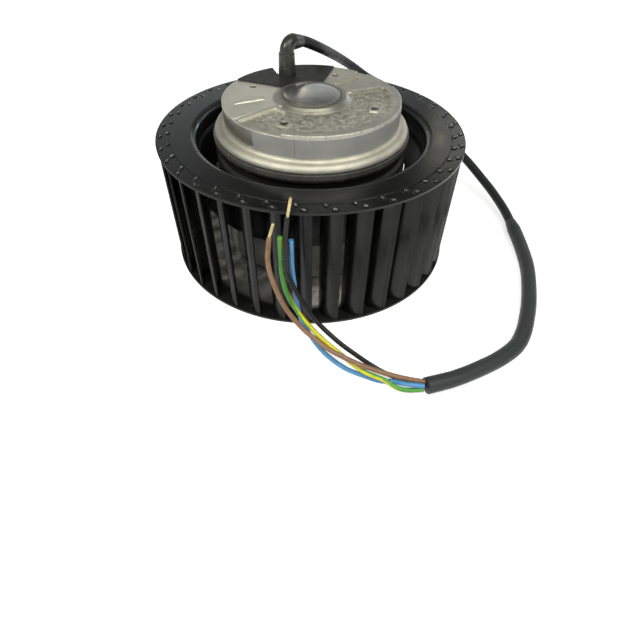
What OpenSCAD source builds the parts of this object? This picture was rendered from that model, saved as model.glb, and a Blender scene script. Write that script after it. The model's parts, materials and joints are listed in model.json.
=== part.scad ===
// Motorised centrifugal impeller: a drum of forward-curved blades carried by an external-rotor motor.
// Millimetres, +Z up. The origin is the middle of the back plate's underside, on the drum's axis.

/* [Impeller] */
// Outside diameter of the drum
impeller_d = 140; // [134:1:160]
// Height of the drum up to the outer band of the inlet ring
impeller_h = 58; // [52:1:64]
// Thickness of the ring and plate sheet
sheet_t = 1; // [0.8:0.1:1.4]
// Number of blades
blade_count = 37; // [28:1:40]
// Thickness of a blade
blade_t = 0.8; // [0.6:0.1:1]
// Depth of the blade row along the radius
blade_depth = 8.6; // [8:0.1:9.2]
// Distance from the drum's rim to the blades' outer edges
blade_setback = 0.4; // [0.3:0.1:0.6]
// Angle that each blade is bent through, in degrees
blade_sweep = 90; // [78:1:94]
// Distance from the drum's rim to the middle of the outer tabs
outer_tab_inset = 1.9; // [1.6:0.1:2.2]
// Distance from the drum's rim to the middle of the inner tabs
inner_tab_inset = 4.9; // [4.6:0.1:5.1]
// Width of a tab along its blade
tab_w = 1.6; // [1.2:0.1:1.7]
// Height of a staked tab over the ring
tab_head = 0.4; // [0.3:0.1:0.8]
// Turn of the first blade about the axis, in degrees
blade_phase = -6.8; // [-9:0.1:0]

/* [Inlet ring] */
// Clear diameter inside the inlet lip
inlet_d = 104.4; // [98:0.2:108]
// Bend radius of the lip's upper face
lip_bend = 3; // [2:0.1:4]
// Depth of the lip below the ring's inner flat
lip_depth = 7; // [4.2:0.1:8]
// Width of the outer band that carries the tabs
band_w = 6; // [5.9:0.1:6.4]
// Height of the inner flat over the outer band
ring_step = 0.4; // [0.3:0.1:1]

/* [Rotor] */
// How far the can's wall stands outside the flange's rim
rotor_over = 0.5; // [0.2:0.1:2]
// Wall of the rotor can
rotor_wall = 1.5; // [1.2:0.1:2]
// Outside radius of the can's lower corner
rotor_corner = 4; // [3:0.5:6]
// Depth of the rolled groove below the collar
groove_depth = 1.5; // [0.8:0.1:1.8]
// Height of the collar at the can's open end
collar_h = 3; // [1.8:0.1:5]
// Length of the hub that holds the shaft
hub_h = 9; // [7:0.5:11]
// Outside diameter of the hub
hub_d = 11.6; // [11:0.1:11.8]
// Rise of the back plate's dished middle
dish_h = 2; // [1.6:0.1:2.6]
// Diameter of the spigot that centres the back plate
spigot_d = 48; // [40:1:54]
// Number of rivets between plate and rotor
rivet_count = 6; // [4:1:8]
// Shank diameter of a rivet
rivet_d = 4; // [3:0.1:5]
// Pitch circle of the rivets
rivet_pcd = 68; // [64:0.5:72]

/* [Motor] */
// Height of the mounting face over the drum's underside
motor_h = 71.5; // [69:0.5:76]
// Shaft diameter
shaft_d = 8; // [7:0.1:8.6]
// Outside diameter of the stator stack
stator_d = 65; // [60:0.5:70]
// Radial air gap between stator and rotor
air_gap = 0.3; // [0.3:0.05:0.6]
// Height of the lamination stacks
stack_h = 25; // [20:1:26]
// Number of stator slots
slot_count = 12; // [8:1:14]
// Diameter of a stator slot
slot_d = 6.8; // [5:0.1:7.2]
// Width of a slot's mouth
slot_mouth = 2; // [1.4:0.1:3]
// Number of bars in the squirrel cage
bar_count = 24; // [16:1:30]
// Diameter of a cage bar
bar_d = 3.6; // [2.6:0.1:4]
// Height of a coil head
coil_h = 7; // [5:0.5:8]
// Thickness of an insulating end disc
insulator_t = 0.8; // [0.5:0.1:1.2]
// Outside diameter of the bearing tube
tube_d = 26.8; // [26:0.2:28]

/* [Bearings] */
// Outside diameter of the bearings
bearing_d = 22; // [21.4:0.2:22.4]
// Width of the bearings
bearing_w = 7; // [6:0.5:8]
// Ball diameter
ball_d = 3.9; // [3.4:0.1:4.1]
// Balls in each bearing
ball_count = 7; // [6:1:8]
// Thickness of the preload spring washer
spring_t = 0.8; // [0.5:0.1:1.2]

/* [Flange] */
// Diameter of the flange's mounting face
flange_d = 79; // [76:0.5:82]
// Width of the flange's rim round the mounting face
rim_w = 4.4; // [4:0.1:5.4]
// Height of the rim
rim_h = 2.6; // [2:0.1:3.2]
// Height of the mounting face over the rim's underside
flange_h = 12.7; // [11.6:0.1:14]
// Pitch circle of the four tapped mounting holes
bolt_pcd = 58; // [54:0.5:62]
// Core diameter of a mounting hole
bolt_hole_d = 3.3; // [2.5:0.1:4]
// Depth of a mounting hole
bolt_depth = 8; // [6:0.5:8.5]
// Direction of the first mounting hole, in degrees
bolt_phase = -20.8; // [-24:0.1:-18]
// Depth of the cast recess below the mounting face
recess = 0.5; // [0.3:0.1:0.8]
// Diameter of the collar round the bearing cap
collar_ring_d = 33; // [31:0.5:34]
// Diameter of the bearing cap
cap_d = 27; // [25:0.1:27.6]
// Rise of the cap's dome
dome_h = 2.3; // [1.5:0.1:3]
// Height of the bare label
label_h = 7.6; // [5:0.1:8]
// Thickness of the label
label_t = 0.2; // [0.1:0.05:0.3]

/* [Lead exit] */
// Height of the cable cover
cover_h = 4; // [3.5:0.1:4.6]
// Distance of the boot from the edge of the mounting face
boot_inset = 10.9; // [9.6:0.1:11.8]
// Direction of the boot from the axis, in degrees
boot_az = 116; // [112:0.2:119]
// Diameter at the foot of the boot
boot_d = 8.4; // [7.8:0.1:8.8]
// Diameter at the top of the boot's post
boot_top_d = 7.5; // [7.2:0.1:7.7]
// Diameter of the boot's elbow
elbow_d = 6.6; // [6.2:0.1:7]
// Bend radius of the elbow's middle line
elbow_bend = 3.8; // [3.6:0.1:4.6]
// Height of the elbow's start over the mounting face
boot_h = 9.6; // [8:0.2:11]
// Length of the boot's tapered end
taper_l = 6; // [4:0.5:9]

/* [Cord sizes] */
// Diameter of the lead
cable_d = 4.8; // [4:0.1:5.4]
// Diameter of the sleeve over the lead
sleeve_d = 6.9; // [6.4:0.1:7]
// Diameter of a wire over its insulation
wire_d = 2; // [1.6:0.1:2]
// Diameter of a bare conductor
conductor_d = 1.2; // [0.8:0.1:1.4]

/* [Hidden] */
$fn = 96;

// Clearances: pieces pressed together, running gaps between turning and still pieces, ball play
fit_gap = 0.03;
run_gap = 0.6;
ball_play = 0.05;
slot_gap = 0.06;
cut = 1;

// Drum
impeller_r = impeller_d / 2;
blade_outer_r = impeller_r - blade_setback;
blade_inner_r = blade_outer_r - blade_depth;
blade_reach = blade_outer_r - blade_t / 2;
blade_bend = (blade_reach * blade_reach - blade_inner_r * blade_inner_r) / (2 * blade_reach);
blade_start = -90;
bend_x = blade_inner_r;
bend_y = blade_bend;
bend_out = norm([bend_x, bend_y]);
bend_az = atan2(bend_y, bend_x);
ring_under = impeller_h - sheet_t;
flat_top = impeller_h + ring_step;
inlet_r = inlet_d / 2;
lip_r = inlet_r + lip_bend;
band_r = impeller_r - band_w;
tab_foot = 0.1;

// Radii of the motor, from the mounting face outwards
flange_r = flange_d / 2;
rim_r = flange_r + rim_w;
rotor_r = rim_r + rotor_over;
rotor_in = rotor_r - rotor_wall;

// Rotor
rotor_z = dish_h + sheet_t;
rotor_floor = 2;
floor_top = rotor_z + rotor_floor;
hub_top = floor_top + hub_h;
rim_z = motor_h - flange_h;
collar_top = rim_z - run_gap;
collar_z = collar_top - collar_h;
collar_out = 0.3;
groove_w = 4.4;
groove_slope = 1;
groove_r = rotor_r - groove_depth;
groove_z = collar_z - groove_w;
rivet_head_h = 1;
rivet_head_r = rivet_d * 0.85;
dish_r = rotor_r - 1.2;

// Stator
shaft_r = shaft_d / 2;
stator_r = stator_d / 2;
tube_r = tube_d / 2;
stack_gap = 1.3;
stack_top = groove_z - groove_slope - stack_gap;
stack_z = stack_top - stack_h;
slot_r = slot_d / 2;
liner_t = 0.2;
slot_pitch_r = stator_r - slot_r - 3;
core_in = stator_r + air_gap;
core_out = rotor_in - fit_gap;
bar_pitch_r = core_in + bar_d / 2 + 0.8;
end_ring_h = 3.5;
end_ring_in = core_in + 0.5;
end_ring_out = groove_r - rotor_wall - 0.4;
coil_in = tube_r + 3;
coil_out = slot_pitch_r + slot_r;

// Bearings
bearing_r = bearing_d / 2;
race_r = (shaft_r + bearing_r) / 2;
ball_r = ball_d / 2;
land = ball_r * 0.72;
shoulder_r = bearing_r - 1.4;
upper_z = motor_h - 11.5;
circlip_t = 0.8;
circlip_depth = 0.4;
shaft_top = upper_z + bearing_w + circlip_t + 1.6;

// Flange
rim_round = 0.8 * rim_h;
rim_fillet = 1.2;
cast_top = motor_h - recess;
top_t = 4;
cavity_top = cast_top - top_t;
cavity_r = flange_r - 3;
skirt_out = rotor_r + collar_out - rotor_wall - run_gap;
skirt_in = skirt_out - 3;
skirt_h = 2;
boss_r = bolt_hole_d / 2 + 1.6;
inner_boss_r = boss_r + 1;
collar_ring_r = collar_ring_d / 2;
collar_ring_top = motor_h + 1.2;
collar_slope = 1.2;
cap_r = cap_d / 2;
cap_seat = motor_h - 0.8;
cap_rim = motor_h + 1.5;
cap_t = 0.8;
dome_r = cap_r - 1.2;
dome_sphere = (dome_r * dome_r + dome_h * dome_h) / (2 * dome_h);
// Directions of the cover's corners next to the cap
cover_start = 75.5;
cover_end = 143.5;
// Directions between which the face is raised, and those of the higher band along its edge
face_pads = [[cover_end, 217], [22, 49], [57, cover_start]];
edge_band = [-106, 20];
edge_band_w = 4.6;
// Ends of the ribs on the face, each as a radius and a direction
face_ribs = [[[collar_ring_r - 2.5, -143], [flange_r - 1.1, -138.5]],
    [[collar_ring_r + 2.6, -142], [collar_ring_r + 3.2, -120]],
    [[collar_ring_r + 2.8, 59], [flange_r - 4.8, 50]],
    [[collar_ring_r + 2.5, 21], [flange_r - 5.5, 22]]];
rib_w = 1.6;
rib_rise = 0.6;
label_z = cast_top - label_h - 0.4;

// Lead exit
pocket_z = motor_h + 0.5 - cover_h;
cover_in = collar_ring_r + 1.3;
// Direction in which the cover's far edge runs
cover_edge_az = 161;
cover_play = 0.2;
lead_play = 0.4;
notch_az = 111;
boot_r = flange_r - boot_inset;
boot_x = boot_r * cos(boot_az);
boot_y = boot_r * sin(boot_az);
elbow_z = motor_h + boot_h;
elbow_az = 55;
elbow_turn = 100;
lip_w = 0.3;
lead_turn = elbow_turn - 20;
lead_out = elbow_bend * (1 - cos(lead_turn));
lead_start = [boot_x + lead_out * cos(elbow_az), boot_y + lead_out * sin(elbow_az),
    elbow_z + elbow_bend * sin(lead_turn)];

// Route of the lead and its sleeve, from the boot round the back of the drum to the free end
sleeve_from = 16;
lead_route = [lead_start, [-5.4, 35.9, 83.3], [1.6, 45, 78.4], [7.8, 61, 71], [14.8, 77, 62.8],
    [22, 86, 56], [31, 92.5, 48.5], [41, 96.5, 42.5], [54, 96, 35], [68, 89, 27], [80, 77, 20.5],
    [90, 63, 16], [96, 52.5, 13], [101.5, 43.5, 9.5], [106, 33, 7], [109.5, 19, 5], [111, 8, 3.6],
    [111, -8, 3.5], [109.5, -29, 3.5], [105.5, -47, 3.5], [100, -64, 3.5], [92.5, -79.5, 3.5],
    [83.5, -88.5, 3.5], [72, -95.5, 3.5], [60.5, -101, 3.5], [48.5, -105, 3.5]];

// Routes of the free wires, from the sleeve's end up against the front of the drum
brown_route = [[48.1, -103.9, 4.5], [41.5, -103, 5], [36, -102, 5.5], [27.4, -100.2, 6.9], [19.4, -97.3, 8],
    [10.4, -93.8, 10.4], [5, -90, 12], [-0.5, -87, 15], [-7.5, -82.5, 22], [-12, -79, 31.5],
    [-14, -76.5, 40.5], [-13.5, -72.5, 48.5]];
brown_tip = [-11.5, -71.5, 55];
black_route = [[48.1, -103.9, 2.3], [42, -102, 1.5], [33, -98, 2], [27, -95.5, 4], [21, -93.5, 7.5],
    [13.5, -90, 11.5], [4.5, -84.5, 17.5], [-2.5, -79, 25.5], [-7, -74.5, 33.5], [-7.5, -73.5, 41],
    [-7.5, -72, 48], [-6.5, -71.2, 57]];
black_tip = [-5, -71.2, 65.5];
blue_route = [[47.6, -105.9, 4.5], [41, -105, 4.2], [36, -102.5, 2.4], [31, -101.5, 1.2],
    [25.5, -99.5, 1.1], [17, -95.5, 1.1], [9.5, -90, 2.5], [4, -84.5, 5], [-1, -79.5, 11],
    [-3.5, -75, 17.5], [-4.5, -73, 25.5], [-5.4, -71.6, 35.5], [-5.4, -71.3, 47]];
green_yellow_route = [[47.6, -105.9, 2.3], [41.5, -105.8, 1.4], [37, -105.4, 2.4], [32, -103, 4],
    [23.5, -99.1, 4.5], [14, -92.3, 7.2], [6, -87, 11], [-2, -81, 17], [-7, -76.3, 23], [-9, -73.7, 29.5],
    [-9.6, -72.2, 37], [-9.6, -71.6, 48.5]];

function unit(v) = v / norm(v);

// Direction of a route at one of its points
function heading(route, i) = unit(route[min(i + 1, len(route) - 1)] - route[max(i - 1, 0)]);

// Ring of points round a route, square to it and turned from a side direction
function ring_at(route, i, r, sides, side) =
    let(along = heading(route, i), u = unit(cross(side, along)), v = cross(along, u))
    [for (k = [0 : sides - 1]) route[i] + r * (cos(360 * k / sides) * u + sin(360 * k / sides) * v)];

// Closed tube along points first to last of a route
module tube(route, first, last, d, sides, side) {
    rings = last - first + 1;
    points = [for (i = [first : last]) each ring_at(route, i, d / 2, sides, side)];
    start_face = [[for (k = [0 : sides - 1]) k]];
    end_face = [[for (k = [0 : sides - 1]) rings * sides - 1 - k]];
    walls = [for (i = [0 : rings - 2], k = [0 : sides - 1])
        let(a = i * sides + k, b = i * sides + (k + 1) % sides)
        each [[a, a + sides, b + sides], [a, b + sides, b]]];
    polyhedron(points, concat(start_face, walls, end_face), convexity = 8);
}

// Round rod between two points
module rod(from, to, d) {
    span = to - from;
    translate(from)
        rotate([0, acos(span[2] / norm(span)), atan2(span[1], span[0])])
        cylinder(h = norm(span), d = d);
}

// Copies turned evenly about the axis
module around(count, phase = 0) {
    for (k = [0 : count - 1])
        rotate([0, 0, phase + 360 * k / count])
        children();
}

// Flat sector of a ring between two directions
module sector(r_in, r_out, from, to) {
    steps = 6;
    reach = 2 * r_out;
    intersection() {
        difference() {
            circle(r_out);
            circle(r_in);
        }
        polygon(concat([[0, 0]],
            [for (i = [0 : steps])
                let(turn = from + (to - from) * i / steps)
                reach * [cos(turn), sin(turn)]]));
    }
}

// Turn round the bend's middle at which the blade reaches a radius
function bend_turn(r) =
    bend_az - acos((r * r - bend_out * bend_out - blade_bend * blade_bend) / (2 * bend_out * blade_bend));

// Stretch of the blade's bent strip between two turns, widened on its sides by a gap
module bent_strip(from, to, gap = 0) {
    reach = 2 * blade_bend;
    translate([bend_x, bend_y])
        intersection() {
            difference() {
                circle(blade_bend + blade_t / 2 + gap);
                circle(blade_bend - blade_t / 2 - gap);
            }
            polygon([[0, 0], reach * [cos(from), sin(from)], reach * [cos(to), sin(to)]]);
        }
}

// Outline of a blade, cut off square at both edges
module blade_outline() {
    bent_strip(blade_start, blade_start + blade_sweep);
}

// Outline of a tab: a short stretch of the blade's strip, widened all round by a gap
module tab_outline(r, gap = 0) {
    middle = bend_turn(r);
    half = (tab_w / 2 + gap) / blade_bend * 180 / PI;
    bent_strip(middle - half, middle + half, gap);
}

module tab_pair(gap = 0) {
    tab_outline(impeller_r - outer_tab_inset, gap);
    tab_outline(impeller_r - inner_tab_inset, gap);
}

module blade() {
    translate([0, 0, sheet_t])
        linear_extrude(ring_under - sheet_t)
        blade_outline();
    translate([0, 0, ring_under])
        linear_extrude(sheet_t + tab_head)
        tab_pair();
    translate([0, 0, tab_foot])
        linear_extrude(sheet_t - tab_foot)
        tab_pair();
}

module blades() {
    color([0.13, 0.13, 0.14])
        around(blade_count, blade_phase)
        blade();
}

module tab_slots(z) {
    translate([0, 0, z - cut])
        linear_extrude(sheet_t + 2 * cut)
        around(blade_count, blade_phase)
        tab_pair(slot_gap);
}

module inlet_ring() {
    slope = ring_step / 2;
    flat_under = flat_top - sheet_t;
    color([0.1, 0.1, 0.11])
        difference() {
            rotate_extrude()
                union() {
                    polygon([[impeller_r, ring_under], [impeller_r, impeller_h], [band_r, impeller_h],
                        [band_r - slope, flat_top], [lip_r, flat_top], [lip_r, flat_under],
                        [band_r - slope - sheet_t / 3, flat_under], [band_r - sheet_t / 3, ring_under]]);
                    intersection() {
                        translate([lip_r, flat_top - lip_bend])
                            difference() {
                                circle(lip_bend);
                                circle(lip_bend - sheet_t);
                            }
                        translate([inlet_r - cut, flat_top - lip_bend])
                            square([lip_bend + cut, lip_bend + cut]);
                    }
                    translate([inlet_r, flat_top - lip_depth])
                        square([sheet_t, lip_depth - lip_bend]);
                }
            tab_slots(ring_under);
        }
}

module back_plate() {
    color([0.1, 0.1, 0.11])
        difference() {
            rotate_extrude()
                polygon([[impeller_r, 0], [impeller_r, sheet_t], [dish_r + dish_h, sheet_t],
                    [dish_r, rotor_z], [spigot_d / 2, rotor_z], [spigot_d / 2, dish_h],
                    [dish_r - sheet_t / 3, dish_h], [dish_r + dish_h - sheet_t / 3, 0]]);
            tab_slots(0);
            rivet_holes();
        }
}

module rivet_holes() {
    around(rivet_count)
        translate([rivet_pcd / 2, 0, 0])
        cylinder(h = floor_top + cut, d = rivet_d + 2 * fit_gap);
}

module plate_rivets() {
    color([0.55, 0.55, 0.56])
        around(rivet_count)
        translate([rivet_pcd / 2, 0, 0]) {
            translate([0, 0, dish_h - rivet_head_h])
                cylinder(h = rivet_head_h, r1 = rivet_head_r * 0.7, r2 = rivet_head_r);
            translate([0, 0, dish_h])
                cylinder(h = floor_top - dish_h, d = rivet_d);
            translate([0, 0, floor_top])
                cylinder(h = rivet_head_h, r1 = rivet_head_r, r2 = rivet_head_r * 0.7);
        }
}

// Half section of the can, either its outside or, drawn in by the wall, its inside
module can_section(inset, bottom) {
    body = rotor_r - inset;
    corner = rotor_corner - inset;
    neck = groove_r - inset;
    union() {
        translate([0, bottom])
            square([body - corner, rotor_corner]);
        translate([body - corner, bottom + corner])
            circle(corner);
        translate([0, bottom + corner])
            square([body, groove_z - groove_slope - bottom - corner]);
        polygon([[0, groove_z - groove_slope], [body, groove_z - groove_slope], [neck, groove_z],
            [neck, collar_z - groove_slope], [body + collar_out, collar_z],
            [body + collar_out, collar_top + (inset > 0 ? cut : 0)],
            [0, collar_top + (inset > 0 ? cut : 0)]]);
    }
}

module rotor_can() {
    color([0.12, 0.12, 0.13])
        difference() {
            union() {
                rotate_extrude()
                    intersection() {
                        difference() {
                            can_section(0, rotor_z);
                            can_section(rotor_wall, floor_top);
                        }
                        square([2 * rotor_r, 2 * motor_h]);
                    }
                translate([0, 0, dish_h])
                    cylinder(h = rotor_floor, r = spigot_d / 2 - fit_gap);
                translate([0, 0, rotor_z])
                    cylinder(h = hub_top - rotor_z, d = hub_d);
            }
            translate([0, 0, dish_h - cut])
                cylinder(h = hub_top, r = shaft_r + fit_gap);
            rivet_holes();
        }
}

module cage_bars(d) {
    around(bar_count)
        translate([bar_pitch_r, 0, stack_z - cut])
        cylinder(h = stack_h + 2 * cut, d = d);
}

module rotor_core() {
    color([0.45, 0.46, 0.48])
        difference() {
            translate([0, 0, stack_z])
                cylinder(h = stack_h, r = core_out);
            translate([0, 0, stack_z - cut])
                cylinder(h = stack_h + 2 * cut, r = core_in);
            cage_bars(bar_d + 2 * fit_gap);
        }
}

module end_ring(z) {
    translate([0, 0, z])
        difference() {
            cylinder(h = end_ring_h, r = end_ring_out);
            translate([0, 0, -cut])
                cylinder(h = end_ring_h + 2 * cut, r = end_ring_in);
        }
}

module squirrel_cage() {
    color([0.7, 0.71, 0.72])
        union() {
            end_ring(stack_z - end_ring_h);
            end_ring(stack_top);
            cage_bars(bar_d);
        }
}

module shaft() {
    ring_z = upper_z + bearing_w;
    color([0.75, 0.76, 0.78])
        difference() {
            translate([0, 0, dish_h])
                cylinder(h = shaft_top - dish_h, r = shaft_r);
            translate([0, 0, ring_z])
                difference() {
                    cylinder(h = circlip_t + 2 * fit_gap, r = shaft_r + cut);
                    translate([0, 0, -cut])
                        cylinder(h = circlip_t + 2 * cut, r = shaft_r - circlip_depth);
                }
        }
}

module shaft_circlip() {
    mouth = 1.6;
    color([0.3, 0.3, 0.32])
        translate([0, 0, upper_z + bearing_w + fit_gap])
        difference() {
            cylinder(h = circlip_t, r = shaft_r + 1.4);
            translate([0, 0, -cut])
                cylinder(h = circlip_t + 2 * cut, r = shaft_r - circlip_depth + fit_gap);
            translate([0, -mouth / 2, -cut])
                cube([shaft_d, mouth, circlip_t + 2 * cut]);
        }
}

// Bearing ring between two radii, with the raceway turned into it
module bearing_ring(z, r_in, r_out) {
    color([0.78, 0.79, 0.8])
        translate([0, 0, z])
        rotate_extrude()
        difference() {
            translate([r_in, 0])
                square([r_out - r_in, bearing_w]);
            translate([race_r, bearing_w / 2])
                circle(ball_r + ball_play);
        }
}

module outer_ring(z) {
    bearing_ring(z, race_r + land, bearing_r - fit_gap);
}

module inner_ring(z) {
    bearing_ring(z, shaft_r + fit_gap, race_r - land);
}

module ball_circle(z) {
    color([0.85, 0.86, 0.88])
        around(ball_count)
        translate([race_r, 0, z + bearing_w / 2])
        sphere(r = ball_r);
}

module upper_outer_ring() {
    outer_ring(upper_z);
}

module lower_outer_ring() {
    outer_ring(hub_top);
}

module upper_inner_ring() {
    inner_ring(upper_z);
}

module lower_inner_ring() {
    inner_ring(hub_top);
}

module upper_balls() {
    ball_circle(upper_z);
}

module lower_balls() {
    ball_circle(hub_top);
}

module preload_spring() {
    leaf = spring_t / 2;
    rim = bearing_r - 0.2;
    shelf = rim - leaf;
    color([0.5, 0.5, 0.52])
        rotate_extrude()
        polygon([[shoulder_r, upper_z - spring_t], [shelf, upper_z - leaf], [rim, upper_z],
            [shelf, upper_z], [shoulder_r, upper_z - spring_t + leaf]]);
}

module stator_slots(d, mouth) {
    around(slot_count) {
        translate([slot_pitch_r, 0, stack_z - cut])
            cylinder(h = stack_h + 2 * cut, d = d);
        if (mouth > 0)
            translate([slot_pitch_r, -mouth / 2, stack_z - cut])
            cube([stator_r, mouth, stack_h + 2 * cut]);
    }
}

module stator_core() {
    color([0.5, 0.5, 0.52])
        difference() {
            translate([0, 0, stack_z])
                cylinder(h = stack_h, r = stator_r);
            translate([0, 0, stack_z - cut])
                cylinder(h = stack_h + 2 * cut, r = tube_r + fit_gap);
            stator_slots(slot_d, slot_mouth);
        }
}

// Coil head with rounded edges
module coil_head(z) {
    edge = coil_h * 0.3;
    translate([0, 0, z])
        rotate_extrude()
        union() {
            translate([coil_in, edge])
                square([coil_out - coil_in, coil_h - 2 * edge]);
            translate([coil_in + edge, 0])
                square([coil_out - coil_in - 2 * edge, coil_h]);
            for (r = [coil_in + edge, coil_out - edge], h = [edge, coil_h - edge])
                translate([r, h])
                circle(edge);
        }
}

module slot_bars(d, reach) {
    around(slot_count)
        translate([slot_pitch_r, 0, stack_z - reach])
        cylinder(h = stack_h + 2 * reach, d = d);
}

module stator_windings() {
    bite = 1.5;
    color([0.72, 0.42, 0.2])
        union() {
            coil_head(stack_z - insulator_t - coil_h);
            coil_head(stack_top + insulator_t);
            slot_bars(slot_d - 2 * liner_t, insulator_t + bite);
        }
}

module insulator(z) {
    color([0.9, 0.88, 0.8])
        difference() {
            translate([0, 0, z])
                cylinder(h = insulator_t, r = stator_r - 0.5);
            translate([0, 0, z - cut])
                cylinder(h = insulator_t + 2 * cut, r = tube_r + fit_gap);
            slot_bars(slot_d - 2 * liner_t + 2 * fit_gap, insulator_t + cut);
        }
}

module upper_insulator() {
    insulator(stack_top);
}

module lower_insulator() {
    insulator(stack_z - insulator_t);
}

// Half section of the casting: face, fillet, rounded rim, skirt and bearing tube
module flange_section() {
    rim_top = rim_z + rim_h;
    difference() {
        union() {
            translate([0, rim_z])
                square([flange_r, cast_top - rim_z]);
            translate([0, rim_z])
                square([rim_r, rim_h - rim_round]);
            translate([0, rim_z])
                square([rim_r - rim_round, rim_h]);
            translate([rim_r - rim_round, rim_top - rim_round])
                intersection() {
                    circle(rim_round);
                    square(rim_round + cut);
                }
            difference() {
                translate([flange_r - cut, rim_top - cut])
                    square([rim_fillet + cut, rim_fillet + cut]);
                translate([flange_r + rim_fillet, rim_top + rim_fillet])
                    circle(rim_fillet);
            }
        }
        translate([0, rim_z - cut])
            square([cavity_r, cavity_top - rim_z + cut]);
    }
    translate([skirt_in, rim_z - skirt_h])
        square([skirt_out - skirt_in, skirt_h + cut]);
    translate([0, hub_top])
        square([tube_r, cast_top - hub_top]);
}

// Straight low rib on the flange's face between two points given as radius and direction
module face_rib(from, to) {
    a = from[0] * [cos(from[1]), sin(from[1])];
    b = to[0] * [cos(to[1]), sin(to[1])];
    translate([a[0], a[1], cast_top - cut])
        rotate([0, 0, atan2(b[1] - a[1], b[0] - a[0])])
        translate([0, -rib_w / 2, 0])
        cube([norm(b - a), rib_w, cut + recess + rib_rise]);
}

// Raised parts of the flange's face: smooth sectors, rim segment, ribs, hole pads and cap collar
module flange_relief() {
    translate([0, 0, cast_top - cut]) {
        linear_extrude(cut + recess) {
            for (pad = face_pads)
                sector(collar_ring_r - cut, flange_r, pad[0], pad[1]);
            around(4, bolt_phase)
                translate([bolt_pcd / 2, 0])
                circle(boss_r);
        }
        linear_extrude(cut + recess + rib_rise)
            sector(flange_r - edge_band_w, flange_r, edge_band[0], edge_band[1]);
        cylinder(h = collar_ring_top - cast_top + cut, r1 = collar_ring_r + 2 * collar_slope,
            r2 = collar_ring_r - collar_slope);
    }
    for (rib = face_ribs)
        face_rib(rib[0], rib[1]);
}

// Outline of the cover between two radii, its ends moved out by some play
module cover_outline(r_in, r_out, play) {
    reach = 2 * r_out;
    corner = cover_in * [cos(cover_end), sin(cover_end)] + play * [-sin(cover_edge_az), cos(cover_edge_az)];
    first = cover_start - play;
    middle = (cover_start + cover_edge_az) / 2;
    intersection() {
        difference() {
            circle(r_out);
            circle(r_in);
        }
        polygon([[0, 0], reach * [cos(first), sin(first)], reach * [cos(middle), sin(middle)],
            corner + reach * [cos(cover_edge_az), sin(cover_edge_az)], corner]);
    }
}

module cover_pocket() {
    translate([0, 0, pocket_z])
        linear_extrude(motor_h)
        cover_outline(cover_in - fit_gap, rim_r + cut, cover_play);
    translate([boot_x, boot_y, cavity_top - cut])
        cylinder(h = motor_h, d = cable_d + lead_play);
}

module motor_flange() {
    color([0.66, 0.66, 0.62])
        difference() {
            union() {
                rotate_extrude()
                    flange_section();
                flange_relief();
                around(4, bolt_phase)
                    translate([bolt_pcd / 2, 0, motor_h - bolt_depth - 1])
                    cylinder(h = bolt_depth, r = inner_boss_r);
            }
            cover_pocket();
            translate([0, 0, hub_top - cut])
                cylinder(h = motor_h, r = shoulder_r);
            translate([0, 0, hub_top - cut])
                cylinder(h = bearing_w + cut, r = bearing_r);
            translate([0, 0, upper_z - spring_t])
                cylinder(h = motor_h, r = bearing_r);
            translate([0, 0, cap_seat])
                cylinder(h = motor_h, r = cap_r + fit_gap);
            around(4, bolt_phase)
                translate([bolt_pcd / 2, 0, motor_h - bolt_depth])
                cylinder(h = bolt_depth + cut, d = bolt_hole_d);
        }
}

module bearing_cap() {
    color([0.75, 0.76, 0.76])
        rotate_extrude()
        union() {
            translate([bearing_r, cap_seat])
                square([cap_r - bearing_r, cap_rim - cap_seat]);
            intersection() {
                translate([0, cap_rim + dome_h - dome_sphere])
                    difference() {
                        circle(dome_sphere);
                        circle(dome_sphere - cap_t);
                    }
                translate([0, cap_rim - cap_t])
                    square([dome_r, dome_h + cap_t + cut]);
            }
        }
}

module cable_cover() {
    notch_w = boot_d + lead_play;
    color([0.16, 0.16, 0.16])
        difference() {
            translate([0, 0, pocket_z])
                linear_extrude(cover_h)
                cover_outline(cover_in, flange_r - 0.1, 0);
            translate([boot_x, boot_y, pocket_z - cut])
                cylinder(h = cover_h + 2 * cut, d = notch_w);
            translate([boot_x, boot_y, pocket_z - cut])
                rotate([0, 0, notch_az])
                translate([0, -notch_w / 2, 0])
                cube([flange_r, notch_w, cover_h + 2 * cut]);
        }
}

// Block on the +Y side of the axis, wide enough to halve the elbow's ring
module half_space() {
    reach = 2 * (elbow_bend + elbow_d);
    translate([-reach, 0, -reach])
        cube(2 * reach);
}

module cable_boot() {
    color([0.17, 0.17, 0.17])
        union() {
            translate([boot_x, boot_y, pocket_z])
                cylinder(h = elbow_z - pocket_z, d1 = boot_d, d2 = boot_top_d);
            translate([boot_x, boot_y, elbow_z])
                rotate([0, 0, elbow_az])
                translate([elbow_bend, 0, 0])
                rotate([90, 0, 0])
                intersection() {
                    rotate_extrude()
                        translate([elbow_bend, 0])
                        circle(d = elbow_d);
                    half_space();
                    rotate([0, 0, 180 - elbow_turn])
                        half_space();
                }
            translate([boot_x, boot_y, elbow_z])
                rotate([0, 0, elbow_az])
                translate([elbow_bend, 0, 0])
                rotate([0, elbow_turn, 0])
                translate([-elbow_bend, 0, 0])
                cylinder(h = taper_l, d1 = elbow_d + lip_w, d2 = cable_d + 2 * lip_w);
        }
}

module rating_label() {
    from = -125;
    span = 120;
    color([0.72, 0.72, 0.7])
        translate([0, 0, label_z])
        linear_extrude(label_h)
        sector(flange_r + fit_gap, flange_r + fit_gap + label_t, from, from + span);
}

module power_cable() {
    color([0.14, 0.14, 0.15])
        tube(lead_route, 0, sleeve_from, cable_d, 10, [0, 0, 1]);
}

module cable_sleeve() {
    color([0.12, 0.12, 0.13])
        tube(lead_route, sleeve_from, len(lead_route) - 1, sleeve_d, 12, [0, 0, 1]);
}

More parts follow.
